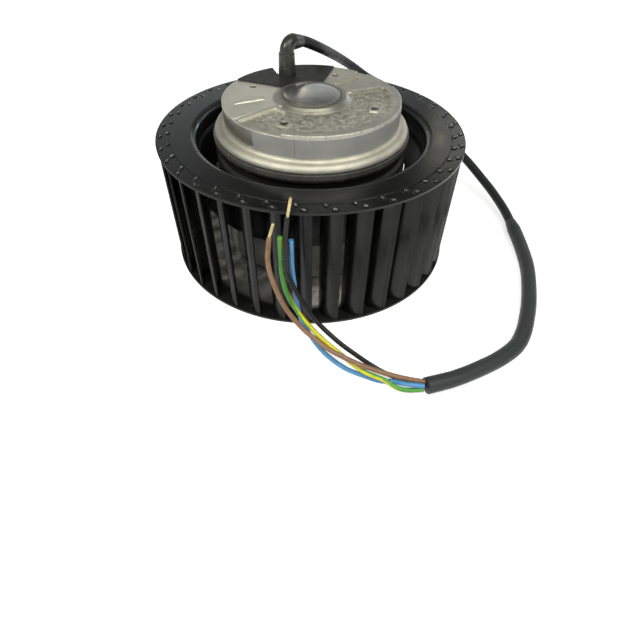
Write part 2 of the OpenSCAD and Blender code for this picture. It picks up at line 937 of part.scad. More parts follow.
module wire(route, shade) {
    color(shade)
        tube(route, 0, len(route) - 1, wire_d, 8, [0, 1, 0]);
}

module brown_wire() {
    wire(brown_route, [0.38, 0.2, 0.1]);
}

module black_wire() {
    wire(black_route, [0.1, 0.1, 0.1]);
}

module blue_wire() {
    wire(blue_route, [0.1, 0.5, 0.8]);
}

module green_yellow_wire() {
    wire(green_yellow_route, [0.4, 0.65, 0.15]);
}

module bare_conductors() {
    color([0.8, 0.62, 0.32]) {
        rod(brown_route[len(brown_route) - 1], brown_tip, conductor_d);
        rod(black_route[len(black_route) - 1], black_tip, conductor_d);
    }
}

motor_flange();
bearing_cap();
cable_cover();
cable_boot();
rating_label();
stator_core();
stator_windings();
upper_insulator();
lower_insulator();
upper_outer_ring();
lower_outer_ring();
preload_spring();
power_cable();
cable_sleeve();
brown_wire();
black_wire();
blue_wire();
green_yellow_wire();
bare_conductors();
inlet_ring();
blades();
back_plate();
plate_rivets();
rotor_can();
rotor_core();
squirrel_cage();
shaft();
upper_inner_ring();
lower_inner_ring();
shaft_circlip();
upper_balls();
lower_balls();
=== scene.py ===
import json
import math
import random

import bpy
from mathutils import Matrix, Vector, noise

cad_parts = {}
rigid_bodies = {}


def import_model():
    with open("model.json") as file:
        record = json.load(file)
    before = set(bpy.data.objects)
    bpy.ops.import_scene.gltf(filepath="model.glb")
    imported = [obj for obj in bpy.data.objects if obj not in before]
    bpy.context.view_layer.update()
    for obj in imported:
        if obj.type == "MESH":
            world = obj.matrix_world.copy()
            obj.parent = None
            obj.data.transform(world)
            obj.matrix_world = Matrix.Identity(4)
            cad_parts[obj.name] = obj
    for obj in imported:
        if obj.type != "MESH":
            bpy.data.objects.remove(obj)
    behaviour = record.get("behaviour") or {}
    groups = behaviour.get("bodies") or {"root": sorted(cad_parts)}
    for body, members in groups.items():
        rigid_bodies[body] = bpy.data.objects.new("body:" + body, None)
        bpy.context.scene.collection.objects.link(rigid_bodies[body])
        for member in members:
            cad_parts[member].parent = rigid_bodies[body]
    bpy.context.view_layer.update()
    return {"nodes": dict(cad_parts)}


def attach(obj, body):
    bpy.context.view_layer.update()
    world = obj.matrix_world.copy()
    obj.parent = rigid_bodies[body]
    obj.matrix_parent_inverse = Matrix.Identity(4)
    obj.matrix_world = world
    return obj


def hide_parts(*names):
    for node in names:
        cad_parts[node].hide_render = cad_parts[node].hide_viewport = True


for leftover in list(bpy.data.objects):
    bpy.data.objects.remove(leftover)

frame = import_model()
nodes = frame["nodes"]
MM = 0.001


def flat_point(radius, direction):
    """Point on the ground plane in metres, from a radius in millimetres and a direction in degrees."""
    turn = math.radians(direction)
    return Vector((math.cos(turn), math.sin(turn), 0)) * radius * MM


def ease(share):
    """Smooth step from 0 to 1, held at both ends."""
    share = max(0.0, min(1.0, share))
    return share * share * (3 - 2 * share)


# Camera at the photograph's viewing angle

camera_place = (0.0062, -0.2141, 0.1543)
camera_pitch = 46.48
camera_roll = 1.5
focal_pixels = 470.1
picture_pixels = 640
sensor_mm = 36


def add_camera():
    """Camera that looks down by its pitch, turned about its own axis by its roll, both in degrees."""
    pitch, roll = math.radians(camera_pitch), math.radians(camera_roll)
    across = Vector((1, 0, 0))
    forward = Vector((0, math.cos(pitch), -math.sin(pitch)))
    lift = Vector((0, math.sin(pitch), math.cos(pitch)))
    right = math.cos(roll) * across + math.sin(roll) * lift
    up = math.cos(roll) * lift - math.sin(roll) * across
    data = bpy.data.cameras.new("camera")
    data.sensor_width = sensor_mm
    data.lens = sensor_mm * focal_pixels / picture_pixels
    data.clip_start = 0.005
    camera = bpy.data.objects.new("camera", data)
    bpy.context.scene.collection.objects.link(camera)
    turn = Matrix((right, up, -forward)).transposed().to_4x4()
    camera.matrix_world = Matrix.Translation(camera_place) @ turn
    bpy.context.scene.camera = camera


# Materials, with lengths in metres where nothing else is said

# Low ribs on the casting's face, painted with a shadow line and highlights, each from one point to
# another as radius in millimetres and direction
rib_lines = (
    ((17, -142.6), (38, -138.6)),
    ((19.4, -141), (19.7, -121)),
    ((19.5, 58.9), (34.5, 50.2)),
    ((19.2, 19.2), (33.6, 20.9)))
# Heights in metres at which a surface's look changes
face_span = (0.0702, 0.0708)
upper_span = (0.0695, 0.0702)
wall_band = (0.0636, 0.0698)
rim_span = (0.0636, 0.0628)
ring_top_span = (0.0572, 0.0577)
can_collar_band = (0.0553, 0.0586)
# Softened edge of painted sheet, in metres
sheet_edge = 0.00016


class Surface:
    """A material whose layers are procedural textures in the part's own coordinates."""

    def __init__(self, name, color, roughness, metallic=0.0, **sockets):
        self.material = bpy.data.materials.new(name)
        self.material.use_nodes = True
        self.tree = self.material.node_tree
        self.shader = self.tree.nodes["Principled BSDF"]
        self.set("Base Color", (*color, 1))
        self.set("Roughness", roughness)
        self.set("Metallic", metallic)
        for socket, value in sockets.items():
            self.set(socket.replace("_", " "), value)
        self.place = self.add("ShaderNodeTexCoord").outputs["Object"]
        self.normal = None

    def set(self, socket, value):
        self.shader.inputs[socket].default_value = value

    def add(self, kind, **settings):
        node = self.tree.nodes.new(kind)
        for key, value in settings.items():
            setattr(node, key, value)
        return node

    def link(self, value, socket):
        if isinstance(value, (int, float)):
            socket.default_value = value
        else:
            self.tree.links.new(value, socket)

    def math(self, operation, a, b=0.0):
        node = self.add("ShaderNodeMath", operation=operation)
        self.link(a, node.inputs[0])
        self.link(b, node.inputs[1])
        return node.outputs[0]

    def times(self, a, b):
        return self.math("MULTIPLY", a, b)

    def plus(self, a, b):
        return self.math("ADD", a, b)

    def minus(self, a, b):
        return self.math("SUBTRACT", a, b)

    def larger(self, a, b):
        return self.math("MAXIMUM", a, b)

    def span(self, value, low, high, start=0.0, end=1.0):
        """Maps low to high onto start to end, and holds the ends beyond them."""
        node = self.add("ShaderNodeMapRange", clamp=True)
        self.link(value, node.inputs["Value"])
        for socket, number in (("From Min", low), ("From Max", high), ("To Min", start), ("To Max", end)):
            node.inputs[socket].default_value = number
        return node.outputs["Result"]

    def stretched(self, scale):
        node = self.add("ShaderNodeMapping")
        node.inputs["Scale"].default_value = scale
        self.link(self.place, node.inputs["Vector"])
        return node.outputs["Vector"]

    def noise(self, scale, detail=2.0, roughness=0.5, place=None):
        node = self.add("ShaderNodeTexNoise")
        self.link(place or self.place, node.inputs["Vector"])
        node.inputs["Scale"].default_value = scale
        node.inputs["Detail"].default_value = detail
        node.inputs["Roughness"].default_value = roughness
        return node.outputs["Fac"]

    def cells(self, scale):
        node = self.add("ShaderNodeTexVoronoi")
        self.link(self.place, node.inputs["Vector"])
        node.inputs["Scale"].default_value = scale
        return node.outputs["Distance"]

    def polar(self):
        """Radius, direction in degrees and height of the point that is shaded."""
        split = self.add("ShaderNodeSeparateXYZ")
        self.link(self.place, split.inputs[0])
        x, y, z = split.outputs
        flat = self.add("ShaderNodeVectorMath", operation="LENGTH")
        join = self.add("ShaderNodeCombineXYZ")
        self.link(x, join.inputs[0])
        self.link(y, join.inputs[1])
        self.link(join.outputs[0], flat.inputs[0])
        turn = self.times(self.math("ARCTAN2", y, x), 180 / math.pi)
        return flat.outputs["Value"], turn, z

    def window(self, value, low, high, soft):
        """1 between low and high, else 0, with soft borders."""
        rise = self.span(value, low - soft, low + soft)
        fall = self.span(value, high - soft, high + soft, 1, 0)
        return self.times(rise, fall)

    def stroke(self, start, end, half, soft):
        """1 on a line between two points given as radius in millimetres and direction, else 0."""
        a, b = flat_point(*start), flat_point(*end)
        along = (b - a).normalized()
        split = self.add("ShaderNodeSeparateXYZ")
        self.link(self.place, split.inputs[0])
        x = self.minus(split.outputs[0], a.x)
        y = self.minus(split.outputs[1], a.y)
        run = self.plus(self.times(x, along.x), self.times(y, along.y))
        off = self.minus(self.times(y, along.x), self.times(x, along.y))
        inside = self.window(run, 0, (b - a).length, soft)
        return self.times(self.window(off, -half, half, soft), inside)

    def blend(self, factor, first, second):
        node = self.add("ShaderNodeMix", data_type="RGBA")
        self.link(factor, node.inputs[0])
        for socket, color in ((node.inputs[6], first), (node.inputs[7], second)):
            if isinstance(color, tuple):
                socket.default_value = (*color, 1)
            else:
                self.link(color, socket)
        return node.outputs[2]

    def color(self, value):
        self.link(value, self.shader.inputs["Base Color"])

    def rough(self, value):
        self.link(value, self.shader.inputs["Roughness"])

    def metal(self, value):
        self.link(value, self.shader.inputs["Metallic"])

    def soften(self, radius):
        """Shades sharp edges as if rounded to the radius."""
        node = self.add("ShaderNodeBevel", samples=6)
        node.inputs["Radius"].default_value = radius
        self.normal = node.outputs["Normal"]
        self.link(self.normal, self.shader.inputs["Normal"])

    def bump(self, height, distance, strength=1.0):
        node = self.add("ShaderNodeBump")
        node.inputs["Strength"].default_value = strength
        node.inputs["Distance"].default_value = distance
        self.link(height, node.inputs["Height"])
        if self.normal is not None:
            self.link(self.normal, node.inputs["Normal"])
        self.normal = node.outputs["Normal"]
        self.link(self.normal, self.shader.inputs["Normal"])


def blade_paint():
    """Stove-dried black paint on the blades: soft orange peel, faint dust, dull along the outer edge."""
    dark, light, lighter_color = (0.006, 0.0062, 0.006), (0.009, 0.0092, 0.0088), (0.0325, 0.033, 0.032)
    s = Surface("blade_paint", dark, 0.26, Specular_IOR_Level=0.3)
    s.soften(sheet_edge)
    r, turn, z = s.polar()
    tone = s.span(s.noise(55, 4), 0.35, 0.7)
    lighter_share = s.times(s.span(s.cells(900), 0.04, 0.12, 1, 0), s.span(s.noise(140, 3), 0.5, 0.75))
    s.color(s.blend(s.times(lighter_share, 0.25), s.blend(tone, dark, light), lighter_color))
    edge = s.times(s.span(r, 0.0686, 0.0692), 0.35)
    s.rough(s.plus(s.span(s.noise(90, 5), 0.3, 0.75, 0.19, 0.35), edge))
    s.bump(s.noise(1500, 2), 0.00003, 0.5)
    return s.material


def ring_paint():
    """Glossy black paint on the inlet ring, struck dull and dented round each staked tab, with painted
    shade round the tabs, along the crease and down the funnel, and a smudge that also stands in for the
    sheen on the right.
    """
    dark, light = (0.004, 0.0043, 0.004), (0.0075, 0.0078, 0.0073)
    painted_shade, smudge_sheen_color = (0.002, 0.002, 0.002), (0.12, 0.117, 0.078)
    s = Surface("ring_paint", dark, 0.24, Specular_IOR_Level=0.45)
    s.soften(sheet_edge)
    r, turn, z = s.polar()
    top = s.span(z, *ring_top_span)
    step = 360 / blade_count
    # Round each staked tab the paint is dented, struck dull and darkened; the darkening is painted shade.
    struck_and_shaded = 0.0
    for middle, along in list(tab_places())[:2]:
        radius = middle.length
        azimuth = math.degrees(math.atan2(middle.y, middle.x))
        share = s.math("FRACT", s.plus(s.math("DIVIDE", s.minus(turn, azimuth), step), 40.5))
        aside = s.times(s.minus(share, 0.5), math.radians(step) * radius)
        out = s.minus(r, radius)
        away = s.math("SQRT", s.plus(s.times(aside, aside), s.times(out, out)))
        mark = s.span(s.plus(away, s.times(s.noise(700, 2), 0.0009)), 0.0013, 0.0023, 1, 0)
        struck_and_shaded = s.larger(mark, struck_and_shaded)
    struck_and_shaded = s.times(struck_and_shaded, top)
    # Thin line along the crease, darkened as painted shade.
    crease_shade = s.times(s.window(r, 0.06365, 0.06425, 0.00015), top)
    # Inner wall of the funnel darkened to near black: painted shade.
    funnel_shade = s.times(s.span(r, 0.0542, 0.0528), s.span(z, 0.057, 0.0555))
    # The tab marks, the crease and the funnel wall take the painted shade colour and are rougher.
    painted_light_marks = s.larger(s.larger(struck_and_shaded, s.times(crease_shade, 0.5)), funnel_shade)
    # Warm lighter patch on the ring's right: a smudge that also stands in for the sheen seen there.
    smudge_and_sheen = s.times(s.window(turn, -13, -5, 5), s.window(r, 0.0572, 0.0605, 0.0018))
    smudge_and_sheen = s.times(smudge_and_sheen, s.times(top, s.span(s.noise(260, 4), 0.3, 0.65, 0.45, 0.8)))
    tone = s.span(s.noise(55, 4), 0.35, 0.7)
    paint = s.blend(smudge_and_sheen, s.blend(tone, dark, light), smudge_sheen_color)
    s.color(s.blend(painted_light_marks, paint, painted_shade))
    edge = s.times(s.span(r, 0.0692, 0.0696), s.window(turn, -200, -80, 15))
    smooth = s.plus(s.span(s.noise(90, 5), 0.3, 0.75, 0.15, 0.22), s.times(edge, 0.45))
    s.rough(s.plus(smooth, s.times(painted_light_marks, 0.3)))
    s.bump(s.minus(s.times(s.noise(900, 2), 0.05), struck_and_shaded), 0.00012, 0.8)
    return s.material


def tab_paint():
    """Paint on the peened tabs, rubbed through to bare metal on the tops."""
    dark, light, bare = (0.006, 0.0064, 0.006), (0.011, 0.0112, 0.0105), (0.42, 0.41, 0.38)
    s = Surface("tab_paint", dark, 0.16, Specular_IOR_Level=0.8)
    r, turn, z = s.polar()
    rub = s.times(s.span(z, 0.05835, 0.05855), s.span(s.noise(420, 3), 0.42, 0.6, 0.1, 0.75))
    s.color(s.blend(rub, s.blend(s.span(s.noise(90, 3), 0.35, 0.7), dark, light), bare))
    s.metal(s.times(rub, 0.7))
    s.rough(s.span(s.noise(300, 3), 0.3, 0.7, 0.12, 0.24))
    s.bump(s.noise(1500, 2), 0.00004, 0.5)
    return s.material


def plate_paint():
    """The back plate's paint: lighter inside the drum, with a painted highlight in front of the can."""
    dark, light, bare = (0.008, 0.008, 0.0078), (0.26, 0.26, 0.243), (0.85, 0.83, 0.78)
    s = Surface("plate_paint", dark, 0.45, Specular_IOR_Level=0.4)
    s.soften(sheet_edge)
    r, turn, z = s.polar()
    # Lighter tone inside the drum, uneven with noise.
    inside = s.times(s.window(r, 0.04, 0.0605, 0.0015), s.span(z, 0.0004, 0.0008))
    lighter_share = s.span(s.noise(160, 5, 0.6), 0.3, 0.7, 0.35, 1.0)
    # Painted highlight: a pool of light on the plate in front of the can, and a fainter one beside it, in
    # the pale bare colour.
    place = s.times(s.window(turn, -97, -71, 1.5), s.window(r, 0.0465, 0.0605, 0.002))
    faint_highlight = s.times(s.window(turn, -114, -109, 2), s.window(r, 0.048, 0.06, 0.003))
    rub = s.times(s.larger(place, s.times(faint_highlight, 0.35)), inside)
    rub = s.times(rub, s.span(s.noise(240, 4), 0.3, 0.6, 0.55, 1.0))
    s.color(s.blend(rub, s.blend(s.times(inside, lighter_share), dark, light), bare))
    s.rough(s.span(s.noise(110, 4), 0.3, 0.7, 0.36, 0.52))
    s.bump(s.noise(1500, 2), 0.00003, 0.5)
    return s.material


def can_paint():
    """The rotor can's paint: glossy collar with fine scratches and a painted sheen band, lower wall
    lighter towards the bottom.
    """
    dark, light, bare = (0.012, 0.012, 0.0115), (0.02, 0.02, 0.019), (0.3, 0.285, 0.26)
    lighter_color, sheen_tone = (0.3, 0.3, 0.28), (0.1, 0.097, 0.092)
    s = Surface("can_paint", dark, 0.4, Specular_IOR_Level=0.4)
    s.soften(0.0003)
    r, turn, z = s.polar()
    collar = s.window(z, *can_collar_band, 0.0004)
    tone = s.span(s.noise(60, 4), 0.35, 0.7)
    # Lighter towards the bottom of the can.
    lighter_share = s.times(s.span(z, 0.05, 0.034), s.span(s.noise(150, 5, 0.6), 0.3, 0.7, 0.5, 1.0))
    paint = s.blend(lighter_share, s.blend(tone, dark, light), lighter_color)
    # Lighter band round the collar: a painted sheen.
    painted_light_marks = s.times(s.window(z, 0.0562, 0.0586, 0.0003), s.span(s.noise(170, 4), 0.3, 0.7, 0.5, 1.0))
    paint = s.blend(painted_light_marks, paint, sheen_tone)
    scratch = s.span(s.noise(900, 3, 0.6, s.stretched((0.25, 0.25, 3))), 0.64, 0.7, 0, 0.6)
    scratch = s.times(scratch, collar)
    s.color(s.blend(scratch, paint, bare))
    s.metal(s.times(scratch, 0.6))
    s.rough(s.minus(s.span(s.noise(110, 4), 0.3, 0.7, 0.32, 0.46), s.times(collar, 0.12)))
    s.bump(s.noise(1300, 2), 0.00003, 0.5)
    return s.material


def cast_metal():
    """Die-cast aluminium: satin skin, fine grain, a lumpy mottled field on the front of the face, and
    painted glints, highlights and shade on the field, sector, ribs, edge and rim.
    """
    clean, grey, dark_tone = (0.73, 0.712, 0.605), (0.6, 0.587, 0.495), (0.29, 0.285, 0.24)
    painted_glint, sector_lit_tone, crest_highlight = (0.95, 0.93, 0.81), (0.92, 0.9, 0.79), (0.9, 0.885, 0.79)
    shadow, chipped_edge_highlight = (0.17, 0.165, 0.13), (0.9, 0.89, 0.8)
    s = Surface("cast_metal", clean, 0.42, 1.0)
    s.soften(0.0005)
    r, turn, z = s.polar()
    face = s.span(z, *face_span)
    upper = s.span(z, *upper_span)
    rim = s.span(z, *rim_span)
    wall = s.window(z, *wall_band, 0.0004)
    field = s.times(s.window(turn, -136, 22, 6), s.window(r, 0.0185, 0.0352, 0.002))
    field = s.times(field, face)

    stain = s.span(s.noise(380, 4, 0.6), 0.46, 0.64)
    dirt = s.times(stain, s.span(field, 0, 1, 0.16, 0.8))
    # Bright specks in the field are painted glints.
    glint_specks = s.times(s.span(s.noise(520, 3, 0.6), 0.5, 0.6), s.span(field, 0, 1, 0.12, 0.85))
    skin = s.blend(s.span(s.noise(75, 3), 0.35, 0.68), clean, grey)
    skin = s.blend(dirt, s.blend(s.times(glint_specks, face), skin, painted_glint), dark_tone)
    # The smooth left sector is lighter: cleaner skin, with a painted highlight for the light it catches.
    clean_lit_sector = s.plus(s.window(turn, -200, -137, 2), s.window(turn, 148, 200, 2))
    skin = s.blend(s.times(clean_lit_sector, s.times(face, 0.45)), skin, sector_lit_tone)
    # Painted shade on the left of the rim.
    painted_shade = s.plus(s.window(turn, -200, -128, 14), s.window(turn, 150, 200, 14))
    skin = s.blend(s.times(painted_shade, s.times(rim, 0.55)), skin, dark_tone)
    # Darker round the hub.
    hub = s.times(s.window(r, 0.0134, 0.0172, 0.0005), s.span(s.noise(200, 3), 0.3, 0.6, 0.5, 0.8))
    skin = s.blend(s.times(hub, upper), skin, dark_tone)

    # Along each rib, a dark painted shadow line and lighter painted highlights on its crests.
    lines, crest_highlights = 0.0, 0.0
    for start, end in rib_lines:
        lines = s.larger(s.stroke(start, end, 0.0003, 0.00012), lines)
        crest_highlights = s.larger(s.stroke(start, end, 0.00085, 0.00015), crest_highlights)
    lines = s.times(lines, face)
    skin = s.blend(s.times(crest_highlights, s.times(face, 0.6)), skin, crest_highlight)
    skin = s.blend(s.times(lines, 0.75), skin, shadow)
    # Ragged bright line along the face's edge above the label: a chipped edge with a painted highlight.
    ragged = s.span(s.noise(600, 3, 0.6), 0.4, 0.55, 0.1, 1.0)
    edge = s.times(s.window(r, 0.0388, 0.04, 0.0003), s.window(turn, -106, 10, 3))
    edge = s.times(s.times(edge, ragged), upper)
    s.color(s.blend(s.times(edge, 0.6), skin, chipped_edge_highlight))

    rough = s.span(s.plus(s.noise(160, 4), s.times(field, 0.25)), 0.3, 0.95, 0.36, 0.52)
    rough = s.times(s.plus(rough, s.times(rim, 0.22)), s.minus(1, wall))
    s.rough(s.plus(rough, s.times(wall, 0.33)))
    coarse = s.minus(s.span(rim, 0, 1, 1.0, 2.6), s.times(wall, 0.9))
    grain = s.times(s.times(s.noise(2600, 3), coarse), 0.22)
    lumps = s.times(s.times(s.noise(430, 3, 0.55), field), 2.6)
    s.bump(s.minus(s.plus(grain, lumps), s.times(lines, 0.8)), 0.0003, 0.9)
    return s.material


def pressed_cap():
    """Bright pressed steel with a few faint handling marks, and painted shade in the groove round the
    dome.
    """
    light, grey, painted_shade = (0.74, 0.73, 0.69), (0.6, 0.6, 0.57), (0.26, 0.25, 0.2)
    s = Surface("pressed_cap", (0.68, 0.67, 0.63), 0.24, 1.0)
    s.soften(0.0004)
    r, turn, z = s.polar()
    tone = s.span(s.noise(90, 4), 0.35, 0.7)
    bright = s.blend(tone, light, grey)
    # Painted shade in the groove round the dome.
    groove_shade = s.span(r, 0.01235, 0.0126)
    s.color(s.blend(groove_shade, bright, painted_shade))
    s.rough(s.plus(s.span(s.noise(260, 4), 0.3, 0.7, 0.15, 0.22), s.times(groove_shade, 0.25)))
    s.bump(s.noise(120, 1), 0.00002, 0.15)
    share = s.span(r, 0, 0.0123)
    s.bump(s.times(share, share), 0.002)
    return s.material


def moulded(name, color, roughness, gloss=0.3):
    """Moulded plastic or rubber with a fine matt grain and slight shading."""
    s = Surface(name, color, roughness, Specular_IOR_Level=gloss)
    s.soften(0.0003)
    lighter = tuple(1.5 * c + 0.006 for c in color)
    s.color(s.blend(s.span(s.noise(130, 4), 0.35, 0.72), color, lighter))
    s.rough(s.span(s.noise(260, 3), 0.3, 0.7, roughness - 0.07, roughness + 0.09))
    s.bump(s.noise(1100, 3), 0.00006, 0.6)
    return s.material


def foil():
    """Bare label strip: silver-grey film, one thin ruled line, slight ripples."""
    light, grey, ink = (0.4, 0.4, 0.385), (0.33, 0.33, 0.315), (0.1, 0.1, 0.1)
    s = Surface("foil", (0.42, 0.42, 0.4), 0.38, 0.25)
    r, turn, z = s.polar()
    tone = s.span(s.noise(90, 4), 0.35, 0.7)
    line = s.window(turn, -98.2, -97.85, 0.08)
    film = s.blend(tone, light, grey)
    s.color(s.blend(s.times(line, 0.75), film, ink))
    s.rough(s.span(s.noise(240, 3), 0.3, 0.7, 0.32, 0.46))
    s.bump(s.noise(150, 3), 0.00012, 0.5)
    return s.material


def jacket(name, color, roughness, gloss, lighter_color):
    """Extruded cable jacket: uneven tone, small scuffs, and lighter where it comes near the floor."""
    s = Surface(name, color, roughness, Specular_IOR_Level=gloss)
    r, turn, z = s.polar()
    lighter = tuple(1.5 * c + 0.004 for c in color)
    skin = s.blend(s.span(s.noise(180, 5, 0.6), 0.4, 0.75), color, lighter)
    # Lighter towards the floor.
    s.color(s.blend(s.span(z, 0.06, 0.03), skin, lighter_color))
    s.rough(s.span(s.noise(350, 4), 0.3, 0.7, roughness - 0.08, roughness + 0.1))
    s.bump(s.noise(900, 3), 0.00005, 0.5)
    return s.material


def insulation(name, color, shade, gloss=0.5, roughness=0.3):
    """Soft PVC wire insulation with slight unevenness in its colour."""
    s = Surface(name, color, roughness, Specular_IOR_Level=gloss)
    s.color(s.blend(s.span(s.noise(320, 4), 0.35, 0.72), color, shade))
    s.rough(s.span(s.noise(500, 3), 0.3, 0.7, roughness - 0.06, roughness + 0.08))
    s.bump(s.noise(1400, 2), 0.00003, 0.5)
    return s.material


def metal(name, color, shade, roughness, scale=240, stretch=(1, 1, 1)):
    """Plain metal with drawn or ground streaks."""
    s = Surface(name, color, roughness, 1.0)
    streaks = s.noise(scale, 4, 0.55, s.stretched(stretch))
    s.color(s.blend(s.span(streaks, 0.35, 0.7), color, shade))
    s.rough(s.span(streaks, 0.3, 0.7, roughness - 0.08, roughness + 0.1))
    s.bump(streaks, 0.00004, 0.5)
    return s.material


def dress():
    """Gives each CAD node that stays its material."""
    finishes = {
        ring_paint(): ["inlet_ring"],
        blade_paint(): ["blades"],
        plate_paint(): ["back_plate"],
        can_paint(): ["rotor_can"],
        cast_metal(): ["motor_flange"],
        pressed_cap(): ["bearing_cap"],
        moulded("cover_plastic", (0.014, 0.0137, 0.0135), 0.55): ["cable_cover"],
        moulded("boot_rubber", (0.021, 0.021, 0.0205), 0.3, gloss=0.55): ["cable_boot"],
        foil(): ["rating_label"],
        metal("laminations", (0.42, 0.43, 0.45), (0.24, 0.25, 0.26), 0.45, 300, (1, 1, 14)):
            ["stator_core", "rotor_core"],
        metal("enamelled_copper", (0.55, 0.24, 0.1), (0.36, 0.13, 0.05), 0.35, 500, (1, 1, 6)):
            ["stator_windings"],
        moulded("insulating_plastic", (0.68, 0.64, 0.52), 0.5): ["upper_insulator", "lower_insulator"],
        metal("bearing_steel", (0.62, 0.63, 0.65), (0.5, 0.51, 0.53), 0.2, 400):
            ["upper_outer_ring", "lower_outer_ring", "upper_inner_ring", "lower_inner_ring",
             "upper_balls", "lower_balls", "shaft"],
        metal("spring_steel", (0.34, 0.34, 0.35), (0.22, 0.22, 0.23), 0.4, 300):
            ["preload_spring", "shaft_circlip"],
        metal("cage_metal", (0.6, 0.6, 0.6), (0.45, 0.45, 0.45), 0.45, 260): ["squirrel_cage"],
        metal("rivet_steel", (0.42, 0.42, 0.42), (0.28, 0.28, 0.28), 0.38, 300): ["plate_rivets"],
    }
    for material, names in finishes.items():
        for name in names:
            nodes[name].data.materials.clear()
            nodes[name].data.materials.append(material)


# Meshes

def add_mesh(name, points, faces, materials):
    """New object in the scene, shaded smooth apart from faces with more than four corners."""
    data = bpy.data.meshes.new(name)
    data.from_pydata([tuple(p) for p in points], [], faces)
    for material in materials:
        data.materials.append(material)
    for face in data.polygons:
        face.use_smooth = len(face.vertices) < 5
    piece = bpy.data.objects.new(name, data)
    bpy.context.scene.collection.objects.link(piece)
    return piece


def band_faces(first, rings, sides):
    """Faces between successive rings of points, numbered from the first point on."""
    faces = []
    for i in range(rings - 1):
        for k in range(sides):
            a, b = first + i * sides + k, first + i * sides + (k + 1) % sides
            faces.append((a, b, b + sides, a + sides))
    return faces


def smooth_route(route, steps):
    """Points along a smooth curve through the route, given in millimetres, as vectors in metres."""
    ends = [Vector(p) * MM for p in route]
    ends = [2 * ends[0] - ends[1]] + ends + [2 * ends[-1] - ends[-2]]
    points = []
    for i in range(1, len(ends) - 2):
        a, b, c, d = ends[i - 1:i + 3]
        for k in range(steps):
            t = k / steps
            points.append(0.5 * (2 * b + (c - a) * t + (2 * a - 5 * b + 4 * c - d) * t * t
                                 + (3 * b - a - 3 * c + d) * t ** 3))
    return points + [ends[-2]]


def frames(points):
    """A direction and two sides at each point, carried along without twisting."""
    result = []
    side = None
    for i, point in enumerate(points):
        along = (points[min(i + 1, len(points) - 1)] - points[max(i - 1, 0)]).normalized()
        if side is None:
            side = Vector((0, 0, 1)) if abs(along.z) < 0.9 else Vector((0, 1, 0))
        side = (side - along * side.dot(along)).normalized()
        result.append((along, side, along.cross(side)))
    return result


def tube(name, points, radius, sides, materials, shade=None):
    """Closed round tube. radius takes a point's number and turn, shade a face's number and turn."""
    rings, marks = [], []
    for i, (point, (along, u, v)) in enumerate(zip(points, frames(points))):
        for k in range(sides):
            turn = 2 * math.pi * k / sides
            rings.append(point + radius(i, turn) * (math.cos(turn) * u + math.sin(turn) * v))
            if shade and i < len(points) - 1:
                marks.append(shade(i, 2 * math.pi * (k + 0.5) / sides))
    faces = band_faces(0, len(points), sides)
    faces.append(tuple(range(sides))[::-1])
    faces.append(tuple(range(len(rings) - sides, len(rings))))
    piece = add_mesh(name, rings, faces, materials)
    for face, mark in zip(piece.data.polygons, marks):
        face.material_index = mark
    return piece


# Cords: the lead with its sleeve, and the four wires, with routes in millimetres

lead_radius = 2.4 * MM
sleeve_radius = 3.45 * MM
wire_radius = 1.0 * MM
lead_route = [
    (-10.74, 28.27, 84.84), (-5.4, 35.9, 83.3), (1.6, 45, 78.4), (7.8, 61, 71), (14.8, 77, 62.8),
    (22, 86, 56), (31, 92.5, 48.5), (41, 96.5, 42.5), (54, 96, 35), (68, 89, 27), (80, 77, 20.5),
    (90, 63, 16), (96, 52.5, 13), (101.5, 43.5, 9.5), (106, 33, 7), (109.5, 19, 5), (111, 8, 3.6),
    (111, -8, 3.5), (109.5, -29, 3.5), (105.5, -47, 3.5), (100, -64, 3.5), (92.5, -79.5, 3.5),
    (83.5, -88.5, 3.5), (72, -95.5, 3.5), (60.5, -101, 3.5), (48.5, -105, 3.5)]
sleeve_from = 16
brown_route = [
    (48.1, -103.9, 4.5), (41.5, -103, 5), (36, -102, 5.5), (27.4, -100.2, 6.9), (19.4, -97.3, 8),
    (10.4, -93.8, 10.4), (5, -90, 12), (-0.5, -87, 15), (-7.5, -82.5, 22), (-12, -79, 31.5),
    (-14, -76.5, 40.5), (-13.5, -72.5, 48.5)]
brown_tip = (-11.5, -71.5, 55)
black_route = [
    (48.1, -103.9, 2.3), (42, -102, 1.5), (33, -98, 2), (27, -95.5, 4), (21, -93.5, 7.5),
    (13.5, -90, 11.5), (4.5, -84.5, 17.5), (-2.5, -79, 25.5), (-7, -74.5, 33.5), (-7.5, -73.5, 41),
    (-7.5, -72, 48), (-6.5, -71.2, 57)]
black_tip = (-5, -71.2, 65.5)
blue_route = [
    (47.6, -105.9, 4.5), (41, -105, 4.2), (36, -102.5, 2.4), (31, -101.5, 1.2), (25.5, -99.5, 1.1),
    (17, -95.5, 1.1), (9.5, -90, 2.5), (4, -84.5, 5), (-1, -79.5, 11), (-3.5, -75, 17.5),
    (-4.5, -73, 25.5), (-5.4, -71.6, 35.5), (-5.4, -71.3, 47)]
green_yellow_route = [
    (47.6, -105.9, 2.3), (41.5, -105.8, 1.4), (37, -105.4, 2.4), (32, -103, 4), (23.5, -99.1, 4.5),
    (14, -92.3, 7.2), (6, -87, 11), (-2, -81, 17), (-7, -76.3, 23), (-9, -73.7, 29.5),
    (-9.6, -72.2, 37), (-9.6, -71.6, 48.5)]
# Direction in degrees of the yellow stripe's middle at numbered rings, and half its width in radians
stripe_turns = (
    (0, 150), (60, 260), (88, 318), (104, 353), (120, 418), (140, 465), (160, 440), (176, 408))
stripe_half = 1.2


def lay_cord(piece, node):
    """Hangs a tube on the stator's body in place of a node, which it hides."""
    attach(piece, "stator")
    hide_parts(node)


